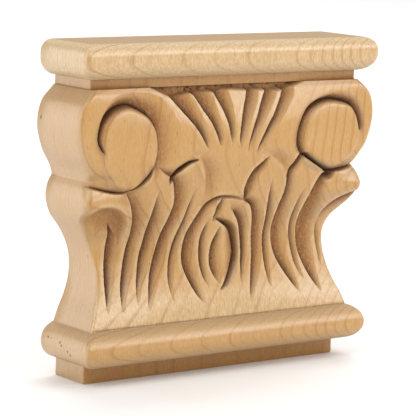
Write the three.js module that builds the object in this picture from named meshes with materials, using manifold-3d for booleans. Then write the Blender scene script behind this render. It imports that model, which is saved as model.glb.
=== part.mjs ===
// A small column capital, carved from one block of maple and flat behind, to be glued on a pilaster.
// Millimetres, +Z up. The back lies in a plane of constant Y and the carved front looks along -Y.
// The origin is under the middle of the bounding box, on the underside.
import * as THREE from 'three';
import Module from 'manifold-3d';

// Driving sizes of the block and its mouldings
const blockHalfWidth = 53.1;
const blockDepth = 17.8;
const blockHeight = 6.5;
const astragalRadius = 6.15;
const astragalProud = 4.8;
const neckHalfWidth = 55.6;
const neckDepth = 21.9;
const neckHeight = 3.2;
const abacusLowerRadius = 5.9;
const abacusLand = 1.7;
const abacusUpperRadius = 4.2;
const bellHeight = 80.2;

// Heights of the mouldings, worked out from the sizes above
const astragalMiddle = blockHeight + astragalRadius;
const astragalReach = blockDepth + astragalProud + astragalRadius;
const bellFoot = blockHeight + 2 * astragalRadius;
const bellTop = bellFoot + bellHeight;
const abacusFoot = bellTop + neckHeight;

// Fineness of the facets
const carvingRows = 60;
const carvingColumns = 68;
const roundSteps = 6;
const closest = 0.35;

const clamp = (value, low, high) => Math.min(high, Math.max(low, value));
const mix = (a, b, t) => a + (b - a) * t;
function ease(from, to, value) {
  const t = clamp((value - from) / (to - from), 0, 1);
  return t * t * (3 - 2 * t);
}

// A smooth line through [place, value] pairs, in rising order of place
function lineThrough(points) {
  const slopes = points.map((point, i) => {
    const before = points[Math.max(i - 1, 0)];
    const after = points[Math.min(i + 1, points.length - 1)];
    return (after[1] - before[1]) / (after[0] - before[0]);
  });
  return (place) => {
    const at = clamp(place, points[0][0], points[points.length - 1][0]);
    let i = 0;
    while (i < points.length - 2 && at > points[i + 1][0]) i += 1;
    const span = points[i + 1][0] - points[i][0];
    const t = (at - points[i][0]) / span;
    const rise = points[i + 1][1] - points[i][1];
    const blend = t * t * (3 - 2 * t);
    const bend = t * (1 - t) * ((1 - t) * (slopes[i] * span) - t * (slopes[i + 1] * span));
    return points[i][1] + rise * blend + bend;
  };
}

// A list of values spread evenly from 0 to 1, read in between
function spread(values) {
  if (values.length === 1) return () => values[0];
  return (t) => {
    const at = t * (values.length - 1);
    const i = Math.min(Math.floor(at), values.length - 2);
    return mix(values[i], values[i + 1], at - i);
  };
}

// The bell is drawn on a pattern, with heights above the underside, half widths and depths of front. The
// pattern is for a bell of 80.2 from its foot at 18.8, under a neck of 55.6 by 21.9, and is scaled to others.
const patternFoot = 18.8;
const patternTop = 99;
const widthScale = neckHalfWidth / 55.6;
const depthScale = neckDepth / 21.9;
const heightScale = bellHeight / (patternTop - patternFoot);

const leafOutline = lineThrough([[17.6, 54.9], [patternFoot, 54.4], [23, 52.8], [28.3, 50.5],
  [33.6, 49.0], [39, 48.7], [44.6, 49.8], [50.3, 52.7], [56, 56.9], [61.6, 58.5], [66, 57.8], [69, 56.2]]);
const voluteOutline = lineThrough([[69, 56.2], [72.2, 57.2], [78, 60.4], [86, 62.3], [93.8, 60.7],
  [patternTop, 56.0], [100.2, 55.2]]);
const outlineNotch = 69;
const middleDepth = lineThrough([[17.6, 23.9], [patternFoot, 23.75], [24.7, 23.0], [29.5, 22.1],
  [36, 21.1], [41, 20.7], [48.5, 20.9], [57, 22.6], [63.7, 24.2], [70, 25.4], [76, 26.1], [85.5, 25.7],
  [91, 24.6], [95.5, 23.4], [patternTop, 22.2], [100.2, 21.4]]);
const sideDepth = lineThrough([[17.6, 23.9], [patternFoot, 23.7], [23, 22.4], [27, 20.7],
  [32, 18.9], [37, 17.1], [41, 15.7], [44.5, 14.9], [47.5, 15.0], [50.5, 16.3], [54, 19.2], [57, 22.4],
  [60, 25.0], [62.5, 25.6], [65.5, 24.2], [68.7, 22.6], [71.5, 24.6], [75, 25.8], [80, 26.1], [93, 26.1],
  [97, 25.6], [patternTop, 24.4], [100.2, 21.4]]);
const bowPower = lineThrough([[patternFoot, 1.5], [44, 1.5], [60, 3], [68, 5], [76, 2], [patternTop, 2]]);
const edgeRadius = lineThrough([[patternFoot, 0.8], [44, 1.2], [60, 2.6], [80, 2.6], [patternTop, 1.6]]);

const halfWidth = (z) => (z < outlineNotch ? leafOutline(z) : voluteOutline(z));

function bellDepth(x, z) {
  const reach = clamp(Math.abs(x) / halfWidth(z), 0, 1);
  const radius = edgeRadius(z);
  const inFromEdge = clamp(halfWidth(z) - Math.abs(x), 0, radius);
  const rounding = radius - Math.sqrt(radius ** 2 - (radius - inFromEdge) ** 2);
  return mix(middleDepth(z), sideDepth(z), reach ** bowPower(z)) - rounding;
}

// The eyes of the two volutes swell towards their lower edge
const eyes = [{ x: -41.5, z: 78, rx: 10.8, rz: 12.7 }, { x: 41.5, z: 79.5, rx: 12.6, rz: 11.4 }];
const eyeSwell = lineThrough([[64, 2.2], [70, 1.7], [76, 0.7], [82, 0.1], [92, 0]]);
function swell(x, z) {
  const inside = eyes.map((eye) => 1 - Math.hypot((x - eye.x) / eye.rx, (z - eye.z) / eye.rz));
  return eyeSwell(z) * ease(-0.12, 0.1, Math.max(...inside));
}

// One stroke of the gouge along a path of [x, z] places. Where the path runs down the front, the steep wall
// is on the left and the hollow fades out to the right, or the other way round where the stroke is turned.
// Depth, wall and hollow are lists of values along the path. The hollow runs out straight, or is rounded
// over like the edge of an eye, or is a soft scoop. A pillow wall is steep at its foot and rounds over at
// its head. The path is the wall's head, or its foot. A narrower wall than the facets can follow is drawn
// a little wider.
const strokeSteps = 36;
const steepest = 1.2;
const narrowestWall = 0.8;
function stroke(settings) {
  const { path, depth, hollow } = settings;
  const wall = settings.wall.map((width) => Math.max(width, narrowestWall));
  const { fade = 1.2, turned = false, rounded = false, soft = false } = settings;
  const { pillow = false, fromEdge = true } = settings;
  const curve = new THREE.SplineCurve(path.map(([x, z]) => new THREE.Vector2(x, z)));
  const line = curve.getPoints(strokeSteps);
  const depthAt = spread(depth);
  const wallAt = spread(wall);
  const hollowAt = spread(hollow);
  const margin = Math.max(...wall) + Math.max(...hollow);
  const box = new THREE.Box2().setFromPoints(line).expandByScalar(margin);
  const hand = turned ? -1 : 1;

  function nearestOn(x, z) {
    const best = { distance: Infinity, side: 1, t: 0 };
    for (let i = 0; i < strokeSteps; i += 1) {
      const [alongX, alongZ] = [line[i + 1].x - line[i].x, line[i + 1].y - line[i].y];
      const [fromX, fromZ] = [x - line[i].x, z - line[i].y];
      const t = clamp((fromX * alongX + fromZ * alongZ) / (alongX ** 2 + alongZ ** 2), 0, 1);
      const distance = Math.hypot(fromX - t * alongX, fromZ - t * alongZ);
      if (distance < best.distance) {
        best.distance = distance;
        best.side = alongX * fromZ >= alongZ * fromX ? 1 : -1;
        best.t = (i + t) / strokeSteps;
      }
    }
    return best;
  }

  function depthOf(x, z) {
    if (!box.containsPoint({ x, y: z })) return 0;
    const { distance, side, t } = nearestOn(x, z);
    const width = wallAt(t);
    const across = hand * side * distance - (fromEdge ? width : 0);
    if (across < -width) return 0;
    if (across < 0) {
      const upWall = 1 + across / width;
      if (pillow) return depthAt(t) * (1 - Math.sqrt(1 - upWall ** 2));
      return depthAt(t) * (soft ? ease(0, 1, upWall) : upWall);
    }
    const out = clamp(across / hollowAt(t), 0, 1);
    if (rounded) return depthAt(t) * (1 - Math.sqrt(1 - (1 - out) ** 2));
    return depthAt(t) * (soft ? ease(1, 0, out) : (1 - out) ** fade);
  }

  // Where the foot and the head of the wall cross one height, so that the facets can follow them
  function crossings(z) {
    const places = [];
    for (let i = 0; i < strokeSteps; i += 1) {
      const [a, b] = [line[i], line[i + 1]];
      if ((a.y > z) === (b.y > z) || Math.abs(b.x - a.x) > steepest * Math.abs(b.y - a.y)) continue;
      const t = (z - a.y) / (b.y - a.y);
      const x = mix(a.x, b.x, t);
      const widthAcross = wallAt((i + t) / strokeSteps) * a.distanceTo(b) / (b.y - a.y);
      places.push(x, fromEdge ? x - hand * widthAcross : x + hand * widthAcross);
    }
    return places;
  }
  return { depthOf, crossings };
}

// The scroll grooves run over the eyes and open into the coves beside the fan
const scrolls = [
  {
    path: [[-52.2, 78.3], [-54.3, 82.0], [-54.0, 86.0], [-51.4, 89.8], [-47.6, 92.4], [-42.6, 93.5],
      [-38.0, 92.0], [-33.9, 89.2], [-31.3, 84.2], [-31.0, 78.5], [-32.3, 73.3]],
    depth: [1.2, 3.0, 3.6, 3.4, 3.2, 2.8, 2.6, 2.2, 1.2, 1.2, 1.8],
    wall: [0.8, 3.0, 3.4, 3.2, 2.8, 2.4, 2.0, 1.6, 1.4, 1.4, 1.6],
    hollow: [0.5, 0.8, 1.0, 2.2, 3.4, 4.4, 6.5, 8.5, 9.5, 9.0, 5.0], pillow: true, fromEdge: false,
  },
  {
    path: [[55.6, 81.6], [55.2, 84.5], [54.0, 87.6], [51.8, 90.4], [48.6, 91.6], [44.5, 92.4],
      [40.7, 92.4], [36.6, 91.4], [32.7, 89.2], [30.0, 85.8], [28.3, 81.5], [28.1, 77.5], [29.6, 74.8]],
    depth: [1.6, 2.6, 2.8, 2.6, 2.4, 2.4, 2.6, 3.0, 3.2, 3.2, 3.2, 3.2, 3.0],
    wall: [0.8, 1.2, 1.4, 1.6, 2.0, 2.2, 2.4, 3.0, 3.8, 4.6, 5.2, 5.0, 3.0],
    hollow: [0.6, 2.2, 3.0, 3.4, 3.6, 3.0, 1.8, 1.4, 1.2, 0.9, 0.8, 0.8, 0.8], turned: true,
    pillow: true, fromEdge: false,
  },
];

// The creases below the eyes, with the eye rounded over above and the curled leaf below
const eyeCreases = [
  {
    path: [[-57.5, 67.6], [-55.5, 67.0], [-51.5, 65.9], [-47.5, 65.0], [-43.5, 65.0], [-39.1, 66.5],
      [-35.6, 69.4], [-32.6, 73.0]],
    depth: [0.3, 1.3, 1.6, 1.6, 1.2, 1.5, 2.2, 2.2], wall: [0.4, 0.5, 0.5, 0.5, 0.8, 1.2, 1.6, 1.6],
    hollow: [1.5, 2.6, 3, 3, 2.6, 1.8, 1.2, 1.2], rounded: true, fromEdge: false,
  },
  {
    path: [[57.5, 69.2], [52.2, 68.0], [46.5, 67.4], [43.2, 67.6], [40.0, 68.7], [36.7, 70.3],
      [33.6, 72.2], [31.0, 74.2]],
    depth: [0.4, 1.6, 2.2, 3.2, 2.4, 2.2, 2.4, 3.0], wall: [0.4, 0.6, 0.8, 1.6, 0.8, 0.7, 0.8, 1.2],
    hollow: [1.5, 2.6, 2.6, 2.4, 2.2, 2, 1.6, 1.2], turned: true, rounded: true, fromEdge: false,
  },
];

// The leaves of the left half, from the corner to the bud: creases between leaves, then their veins
const leftLeaves = [
  {
    path: [[-42.7, 64.7], [-40.8, 61.5], [-39.4, 58.8], [-37.4, 54.3], [-36.4, 49.2], [-37.2, 44.4],
      [-38.4, 39.9], [-40.1, 34], [-40.9, 29.6], [-41.2, 23.3]],
    depth: [0.8, 1.3, 1.5, 1.5, 1.6, 1.8, 2.0, 2.0, 1.6, 0], wall: [0.4, 0.6, 0.7, 0.7, 0.3],
    hollow: [5, 8, 7.5, 6, 5, 4.4, 3.8, 3, 2, 0.4],
  },
  {
    path: [[-32.2, 73.2], [-27.7, 70.2], [-24.6, 68.4], [-23, 64.7], [-22.3, 59.8], [-23.2, 55],
      [-24.6, 49.8], [-25.9, 44.2], [-27.5, 39.3], [-29, 34.8], [-30.1, 28.8], [-31.1, 23.2]],
    depth: [0.7, 1.0, 1.6, 2.2, 2.4, 2.4, 2.4, 2.4, 2.2, 1.9, 1.4, 0], wall: [0.6, 0.7, 0.7, 0.3],
    hollow: [1, 2, 4, 7, 6.5, 5.6, 5.2, 5, 4.6, 3.8, 2.2, 0.4],
  },
  {
    path: [[-23.4, 68.2], [-21.6, 70.2], [-19.6, 71.6], [-17.6, 72.9], [-14.8, 73.8], [-13.2, 74.2]],
    depth: [2.4, 2.6, 2.4, 2.0, 1.2, 0], wall: [0.5, 0.5, 0.3], hollow: [1.8, 2, 1.8, 1.4, 0.8, 0.3],
  },
  {
    path: [[7.4, 59.6], [3, 61], [-2.9, 61.4], [-6.6, 60.3], [-9.3, 58.5], [-11.4, 55.4], [-14.2, 50],
      [-15.3, 46.2], [-15.9, 42.4], [-15.9, 38.4], [-14.4, 33.9], [-12.4, 30], [-10, 26.4],
      [-7.5, 23.6]],
    depth: [0.8, 1.0, 1.4, 1.6, 1.8, 2.1, 2.4, 2.6, 2.6, 2.4, 2.2, 1.8, 1.2, 0],
    wall: [0.5, 0.7, 0.7, 0.3],
    hollow: [1.2, 1.4, 2, 2.6, 3.4, 4.2, 5, 5.6, 5.6, 5.2, 4.4, 3.4, 2, 0.4],
  },
  {
    path: [[-45.6, 55], [-44.4, 49.6], [-44.7, 43.8], [-45.6, 38.8], [-46.4, 32.9], [-46.8, 28.4],
      [-47.2, 24]],
    depth: [1.6, 2.5, 2.2, 2.2, 2.1, 1.5, 0], wall: [0.3, 0.6, 0.7, 0.3],
    hollow: [0.4, 6, 5, 3.6, 2.6, 1.4, 0.3],
  },
  {
    path: [[-29.2, 65.2], [-30.3, 58.8], [-30.7, 53.8], [-31, 46.7], [-32.1, 42.6], [-33.5, 36.6],
      [-34.4, 32.1], [-35.1, 25.6]],
    depth: [0, 1.6, 2.2, 2.2, 2.0, 1.7, 1.3, 0], wall: [0.5, 0.7, 0.7, 0.3],
    hollow: [1, 3.8, 5, 4.6, 4, 3, 1.8, 0.3],
  },
  {
    path: [[-14, 65.2], [-15.7, 59.3], [-17.1, 53.5], [-18.5, 49], [-20, 44], [-21.2, 38.7],
      [-21.7, 34.1], [-21.5, 30.4], [-20.5, 24.6]],
    depth: [0, 1.1, 1.5, 1.6, 1.6, 1.5, 1.3, 0.9, 0], wall: [0.4, 0.5, 0.3],
    hollow: [0.3, 1.8, 2.2, 2.4, 2.4, 2.4, 2, 1.3, 0.3],
  },
  {
    path: [[-14.9, 74.8], [-12.5, 72.4], [-11, 68.6], [-10.5, 64.4], [-10.6, 61.0]],
    depth: [0.3, 1.0, 1.3, 1.1, 0.4], wall: [1.4, 1.8], hollow: [2, 5, 7, 6, 3], soft: true,
  },
];

// The bud: the vein of its left leaf, the seed, the curled leaf on the right and the vein of that leaf
const bud = [
  {
    path: [[-6.1, 53.4], [-7.7, 50.2], [-8.9, 46.4], [-9.1, 42.6], [-8.9, 37.8], [-7.9, 33.7],
      [-6.9, 31.4], [-5.8, 29.2]],
    depth: [0, 1.3, 1.8, 1.9, 1.7, 1.3, 0.8, 0], wall: [0.4, 0.5, 0.3],
    hollow: [0.3, 2, 2.8, 2.8, 2.4, 1.8, 1, 0.3],
  },
  {
    path: [[-0.8, 50.7], [-2.3, 47.9], [-4.2, 44.1], [-4.9, 39.7], [-4.7, 36.6], [-3.3, 33.3],
      [-0.7, 29.8]],
    depth: [0, 1.5, 2.2, 2.4, 2.2, 1.6, 0], wall: [0.3, 0.5, 0.5, 0.5, 0.3],
    hollow: [0.3, 2, 3.9, 4.4, 4.6, 3.6, 0.3], fade: 1,
  },
  {
    path: [[-0.9, 51.2], [1.8, 49.6], [4.1, 47.2], [5.2, 44], [5.7, 39.9], [4.3, 35.9], [2.3, 32.2],
      [0, 29.4]],
    depth: [0, 0.7, 1.2, 1.3, 1.3, 1.1, 0.7, 0], wall: [0.3], hollow: [0.3, 2, 4, 5, 5, 4, 2, 0.3],
    fade: 1, turned: true, fromEdge: false,
  },
  {
    path: [[-4.2, 53.4], [-0.9, 51.4], [1.7, 49.8], [4, 47.4], [5.1, 44.1], [5.6, 39.9], [4.2, 35.9],
      [2.2, 32.2], [-0.1, 29.4]],
    depth: [0.6, 1.6, 2.8, 3.6, 3.8, 3.6, 3.4, 2.8, 1.2], wall: [0.4, 0.5, 0.6, 0.6, 0.4],
    hollow: [0.8, 1.4, 2.2, 2.6, 2.2, 1.6, 2.2, 2.2, 1],
  },
  {
    path: [[-0.8, 60.6], [-2.2, 59.6], [-3.6, 57.4], [-4.3, 53.8]], depth: [0.4, 1.4, 1.9, 1.2],
    wall: [0.3, 0.5], hollow: [1.6, 2.4, 3, 1.4],
  },
  {
    path: [[3.4, 55.4], [4.8, 53.6], [6.8, 50.5], [8.1, 45.8], [8.7, 41.2], [8.5, 36.5], [8.4, 32.5],
      [8.2, 29.2]],
    depth: [0.8, 1.9, 2.6, 2.7, 2.2, 1.6, 1.0, 0], wall: [0.5, 0.7, 0.6, 0.3],
    hollow: [3.6, 4, 3.6, 3, 2.4, 1.6, 0.9, 0.3],
  },
  {
    path: [[7.2, 59.4], [8.4, 58.6], [11.1, 56.1], [12.8, 50.7], [13.5, 44.1], [13.7, 39.2],
      [12.9, 32.9], [12.2, 28.2], [11.8, 22.8]],
    depth: [0.6, 1.2, 2.0, 2.7, 2.9, 2.6, 2.1, 1.5, 0], wall: [0.5, 0.6, 0.6, 0.3],
    hollow: [1.4, 2.4, 4, 5, 5, 4.6, 3.8, 2.4, 0.3],
  },
];

// The leaves of the right half, from the bud to the corner: creases between leaves, then their veins
const rightLeaves = [
  {
    path: [[16.2, 74.8], [13.2, 72.4], [10, 70], [8.1, 67.4], [7, 64.4], [6.9, 61.6], [7.6, 59.6]],
    depth: [0, 1.8, 2.4, 2.8, 2.8, 2.4, 1.4], wall: [0.3, 0.6, 0.7],
    hollow: [0.6, 2.4, 3.4, 4.2, 4.6, 4, 2.4],
  },
  {
    path: [[28.8, 74.2], [26.8, 71.4], [24.8, 68.4], [24.6, 62], [23.3, 56.4], [22.5, 51],
      [22.6, 46.4], [23.3, 41.7], [25, 36.9], [28.3, 31.7], [31.2, 27.8], [34, 24]],
    depth: [3.0, 2.6, 2.2, 2.0, 2.2, 2.6, 2.9, 2.9, 2.6, 2.2, 1.6, 0], wall: [0.7, 0.7, 0.7, 0.3],
    hollow: [2.2, 2.4, 2.8, 3.6, 4.8, 6, 6.6, 6.4, 5.4, 4, 2.6, 0.4],
  },
  {
    path: [[43.4, 66.9], [40.2, 66.6], [37.3, 62.6], [35.7, 58.6], [34.7, 54.4], [34.6, 49.8],
      [35.1, 44.5], [35.7, 38.8], [37.8, 33], [40.8, 27.8], [43.9, 23.7]],
    depth: [2.4, 2.6, 3.0, 3.3, 3.6, 3.8, 3.7, 3.4, 2.8, 1.8, 0], wall: [0.7, 0.8, 0.8, 0.7, 0.3],
    hollow: [2.5, 4, 6, 8, 9, 9.8, 9.6, 8.2, 6, 3, 0.4],
  },
  {
    path: [[17.9, 65.8], [18.1, 60.8], [18.3, 55.6], [18.8, 50.4], [18.8, 45], [19.1, 39.6],
      [19.6, 34.3], [20.4, 30.5], [21.4, 26.6]],
    depth: [0, 1.3, 1.8, 2.0, 2.0, 1.8, 1.5, 1.0, 0], wall: [0.4, 0.5, 0.3],
    hollow: [0.3, 1.6, 2.6, 2.8, 2.8, 2.6, 2, 1.2, 0.3],
  },
  {
    path: [[33.9, 63.8], [31.9, 59.2], [31, 55.5], [30.8, 51.3], [31.5, 45.6], [32.3, 40.2],
      [33.2, 35.5], [34.6, 31.8], [37, 27.6]],
    depth: [0, 0.8, 1.2, 1.5, 1.6, 1.6, 1.3, 0.9, 0], wall: [0.4, 0.5, 0.3],
    hollow: [0.3, 1.3, 2, 2.6, 2.8, 2.6, 2, 1.3, 0.3],
  },
  {
    path: [[45.4, 50], [45.1, 46.5], [45.1, 41.5], [45.3, 36.4], [45.6, 31.4]],
    depth: [0, 1.0, 1.1, 0.9, 0], wall: [0.3, 0.5, 0.3], hollow: [0.4, 1.8, 1.8, 1.4, 0.3],
  },
  {
    path: [[14.2, 74.3], [18.3, 72.8], [21.4, 70.5], [23.4, 67.6]], depth: [0.3, 1.0, 1.1, 0.4],
    wall: [1.4, 1.6], hollow: [2, 4.5, 5, 3], soft: true,
  },
];

// The hollows under the curled tips of the two corner leaves
const curls = [
  {
    path: [[-39.8, 42], [-38.6, 47], [-38.6, 51.5], [-39.8, 55], [-42.8, 58.4], [-47.2, 60.2],
      [-51.8, 60.4], [-56.4, 58.4]],
    depth: [0, 0.9, 1.8, 2.6, 3.0, 2.9, 2.0, 0.7], wall: [1.2, 1.8, 2.0, 2.0],
    hollow: [3, 5, 7, 8.5, 10, 11, 10, 7], soft: true,
  },
  {
    path: [[45.2, 49], [45.6, 52], [47, 54.8], [49.4, 56.9], [52.6, 58.5], [56.5, 59.8]],
    depth: [0.6, 1.2, 1.6, 1.8, 1.6, 1.0], wall: [0.8], hollow: [3, 4, 4.4, 4.4, 4.4, 4], turned: true,
  },
];

// The six flutes of the fan, each from its open end under the neck down to its point
const fan = [
  {
    path: [[-24.6, 94.8], [-22, 92], [-19.6, 89.6], [-16, 85.8], [-13.6, 82.8], [-11.9, 80],
      [-10.2, 77]],
    hollow: [7.4, 6.8, 6, 3.8, 2.6, 1.6, 0.3],
  },
  {
    path: [[-15.8, 96.2], [-13.6, 93.2], [-12, 90.8], [-9, 86.6], [-7.2, 83.2], [-6.1, 80.6],
      [-5.4, 78.2]],
    hollow: [6.8, 6.4, 5.6, 3.6, 2.4, 1.6, 0.3],
  },
  {
    path: [[-7, 96.6], [-5.4, 93.6], [-4, 91], [-2.7, 88], [-1.8, 85.3], [-1.1, 82], [-0.6, 79]],
    hollow: [5.6, 5, 4.2, 3, 2.2, 1.5, 0.3],
  },
  {
    path: [[7, 96.6], [6.1, 94], [5.2, 91.8], [4, 88], [3.2, 84.2], [2.8, 81], [2.7, 77.6]],
    hollow: [4.4, 4.4, 4.2, 3.4, 2.4, 1.5, 0.3],
  },
  {
    path: [[14.6, 96.4], [13.4, 94.2], [12.1, 91.8], [10.8, 88.8], [9, 85.2], [7.4, 81], [5.9, 75.8]],
    hollow: [4.4, 4.2, 4, 3.2, 2.3, 1.5, 0.3],
  },
  {
    path: [[22, 96.2], [20.6, 93.6], [19.2, 91.2], [17.4, 88.2], [15.7, 86], [13.4, 82.4],
      [11.2, 78.6], [9.5, 74.6]],
    hollow: [4.6, 4, 3.8, 3.2, 2.6, 2, 1.3, 0.3],
  },
].map((flute) => ({
  ...flute, depth: [2.4, 2.3, 2.2, 2.1, 1.9, 1.4, 0], wall: [0.6, 0.6, 0.6, 0.5, 0.3], fade: 1,
}));

const cuts = [...scrolls, ...eyeCreases, ...leftLeaves, ...bud, ...rightLeaves, ...curls, ...fan];
const carving = cuts.map(stroke);

// The sunk ground between the fan and the neck
const groundDepth = 20.3;
const groundWall = 0.9;
const groundEdge = lineThrough([[-38, 101], [-32, 98.6], [-24, 95.6], [-15.6, 96.6], [-7.2, 96.6], [0, 97.2],
  [6.6, 96.8], [14.1, 96.6], [21.2, 96.2], [28, 97.8], [38, 101]]);

function frontDepth(x, z) {
  const cut = Math.max(0, ...carving.map((one) => one.depthOf(x, z)));
  const surface = bellDepth(x, z) + swell(x, z) - cut;
  const sunk = ease(0, groundWall, z - groundEdge(x));
  return mix(surface, Math.min(surface, groundDepth), sunk);
}

// A closed skin over rings of points, which all have as many points and lie one above the other
function skin(rings) {
  const count = rings[0].length;
  const triangles = [];
  for (let row = 0; row < rings.length - 1; row += 1) {
    for (let i = 0; i < count; i += 1) {
      const next = (i + 1) % count;
      const [a, b] = [row * count + i, row * count + next];
      const [c, d] = [a + count, b + count];
      const fold = Math.abs(rings[row][i][1] - rings[row + 1][next][1]);
      const otherFold = Math.abs(rings[row][next][1] - rings[row + 1][i][1]);
      if (fold <= otherFold) triangles.push(a, b, d, a, d, c);
      else triangles.push(a, b, c, b, d, c);
    }
  }
  const last = (rings.length - 1) * count;
  for (let i = 0; i < count - 2; i += 1) {
    triangles.push(count - 1, i + 1, i);
    triangles.push(last + count - 1, last + i, last + i + 1);
  }
  const geometry = new THREE.BufferGeometry();
  geometry.setAttribute('position', new THREE.Float32BufferAttribute(rings.flat(2), 3));
  geometry.setIndex(triangles);
  return geometry;
}

// A course of mouldings that returns round both sides: [half width, depth, height] at each level
function course(levels) {
  return skin(levels.map(([half, depth, z]) => [
    [-half, -depth, z], [half, -depth, z], [half, 0, z], [-half, 0, z],
  ]));
}

// Steps round an arc from one angle to another, in degrees
function arc(from, to) {
  const angleAt = (i) => THREE.MathUtils.degToRad(mix(from, to, i / roundSteps));
  return Array.from({ length: roundSteps + 1 }, (_, i) => angleAt(i));
}

function footCourse() {
  const levels = [[blockHalfWidth, blockDepth, 0], [blockHalfWidth, blockDepth, blockHeight]];
  for (const angle of [...arc(-90, 0), ...arc(0, 90).slice(1)]) {
    const out = astragalRadius * Math.cos(angle);
    const z = astragalMiddle + astragalRadius * Math.sin(angle);
    levels.push([blockHalfWidth + out, blockDepth + astragalProud + out, z]);
  }
  return course(levels);
}

function headCourse() {
  const levels = [[neckHalfWidth, neckDepth, bellTop], [neckHalfWidth, neckDepth, abacusFoot]];
  const landFoot = abacusFoot + abacusLowerRadius;
  for (const angle of arc(-90, 0).slice(1)) {
    const out = abacusLowerRadius * Math.cos(angle);
    levels.push([neckHalfWidth + out, neckDepth + out, landFoot + abacusLowerRadius * Math.sin(angle)]);
  }
  const reach = abacusLowerRadius - abacusUpperRadius;
  const landTop = landFoot + abacusLand;
  for (const angle of arc(0, 90)) {
    const out = reach + abacusUpperRadius * Math.cos(angle);
    levels.push([neckHalfWidth + out, neckDepth + out, landTop + abacusUpperRadius * Math.sin(angle)]);
  }
  return course(levels);
}

// Columns across one height, drawn to the walls of the cuts and spread evenly between them
function columnsAt(z) {
  const half = halfWidth(z);
  const edges = [0.4, 1.2].map((inset) => half - inset);
  const step = 2 * edges[1] / carvingColumns;
  const places = Array.from({ length: carvingColumns + 1 }, (_, i) => i * step - edges[1]);
  const pins = new Map([[0, places[0]], [carvingColumns, places[carvingColumns]]]);
  const walls = carving.flatMap((one) => one.crossings(z)).sort((a, b) => a - b);
  let taken = 0;
  let last = places[0];
  for (const x of walls) {
    const i = Math.max(Math.round((x - places[0]) / step), taken + 1);
    if (i >= carvingColumns || x < last + closest || Math.abs(x - places[i]) > step) continue;
    pins.set(i, x);
    taken = i;
    last = x;
  }
  const marks = [...pins.keys()].sort((a, b) => a - b);
  const spaced = marks.slice(1).flatMap((to, k) => {
    const from = marks[k];
    return Array.from({ length: to - from }, (_, i) => mix(pins.get(from), pins.get(to), i / (to - from)));
  });
  return [-half, -edges[0], ...spaced, edges[1], edges[0], half];
}

// The bell reaches a little into the mouldings above and below it
const bellBury = 1.2;
function bell() {
  const rowAt = (i) => mix(patternFoot, patternTop, i / carvingRows);
  const rows = Array.from({ length: carvingRows + 1 }, (_, i) => rowAt(i));
  return skin([patternFoot - bellBury, ...rows, patternTop + bellBury].map((z) => {
    const half = halfWidth(z);
    const ring = [...columnsAt(z).map((x) => [x, -frontDepth(x, z)]), [half, 0], [-half, 0]];
    return ring.map(([x, y]) => [x * widthScale, y * depthScale, bellFoot + (z - patternFoot) * heightScale]);
  }));
}

// The capital is one piece of wood, so its mouldings and its bell are joined to one solid
const wasm = await Module();
wasm.setup();

function toSolid(geometry) {
  return new wasm.Manifold(new wasm.Mesh({
    numProp: 3,
    vertProperties: new Float32Array(geometry.getAttribute('position').array),
    triVerts: new Uint32Array(geometry.getIndex().array),
  }));
}

function toGeometry(solid) {
  const { vertProperties, triVerts } = solid.getMesh();
  const geometry = new THREE.BufferGeometry();
  geometry.setAttribute('position', new THREE.BufferAttribute(vertProperties, 3));
  geometry.setIndex(new THREE.BufferAttribute(triVerts, 1));
  geometry.computeVertexNormals();
  return geometry;
}

const maple = new THREE.MeshStandardMaterial({ color: 0xd9b483, roughness: 0.5, metalness: 0 });
const solid = toSolid(bell()).add(toSolid(footCourse())).add(toSolid(headCourse()));
const capital = new THREE.Mesh(toGeometry(solid), maple);
capital.name = 'capital';
capital.position.y = astragalReach / 2;

const part = new THREE.Group();
part.add(capital);
export default part;
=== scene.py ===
from math import cos, radians, sin

import bpy
import numpy as np
from mathutils import Matrix, Vector


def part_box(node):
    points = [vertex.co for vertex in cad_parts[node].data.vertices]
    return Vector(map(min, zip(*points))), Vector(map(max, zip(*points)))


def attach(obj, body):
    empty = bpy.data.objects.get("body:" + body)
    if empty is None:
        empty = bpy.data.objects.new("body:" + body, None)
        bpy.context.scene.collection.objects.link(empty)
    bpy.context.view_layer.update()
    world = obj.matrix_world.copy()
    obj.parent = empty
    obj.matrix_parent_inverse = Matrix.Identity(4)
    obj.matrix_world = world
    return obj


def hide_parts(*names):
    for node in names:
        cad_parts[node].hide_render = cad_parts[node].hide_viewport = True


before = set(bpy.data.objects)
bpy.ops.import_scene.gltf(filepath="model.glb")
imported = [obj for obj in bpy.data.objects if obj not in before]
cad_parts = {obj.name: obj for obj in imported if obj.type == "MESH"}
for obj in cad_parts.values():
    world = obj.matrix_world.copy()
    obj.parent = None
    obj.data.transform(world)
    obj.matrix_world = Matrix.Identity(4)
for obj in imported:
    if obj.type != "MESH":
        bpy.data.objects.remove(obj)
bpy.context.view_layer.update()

# The block
# One block of hard maple, sawn flat behind. The whole capital is worked from it, so all that follows
# is one skin round one piece of wood, built as levels from the underside up. Sizes are in millimetres.
MM = 0.001
corner_low, corner_high = (np.array(corner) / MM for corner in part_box("capital"))
BACK = corner_high[1]
TOTAL_DEPTH = corner_high[1] - corner_low[1]
TOTAL_HEIGHT = corner_high[2]

FRONT_STEPS = 24
SIDE_STEPS = 6
BACK_STEPS = 8
BACK_CHAMFER = 0.4
CORNER_INSETS = np.array([0.9, 0.42, 0.12, 0.0])
CORNER_START = 1.5


def softened(x, half, radius):
    """How far a front corner of that radius falls back at each x."""
    short = radius - np.clip(half - np.abs(x), 0, radius)
    return radius - np.sqrt(radius ** 2 - short ** 2)


def front_places(half, steps):
    """Places across the front of one level, closer together at both corners."""
    corner = half - CORNER_INSETS
    middle = np.linspace(CORNER_START - half, half - CORNER_START, steps + 1)
    return np.concatenate([-corner[::-1], middle, corner])


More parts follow.
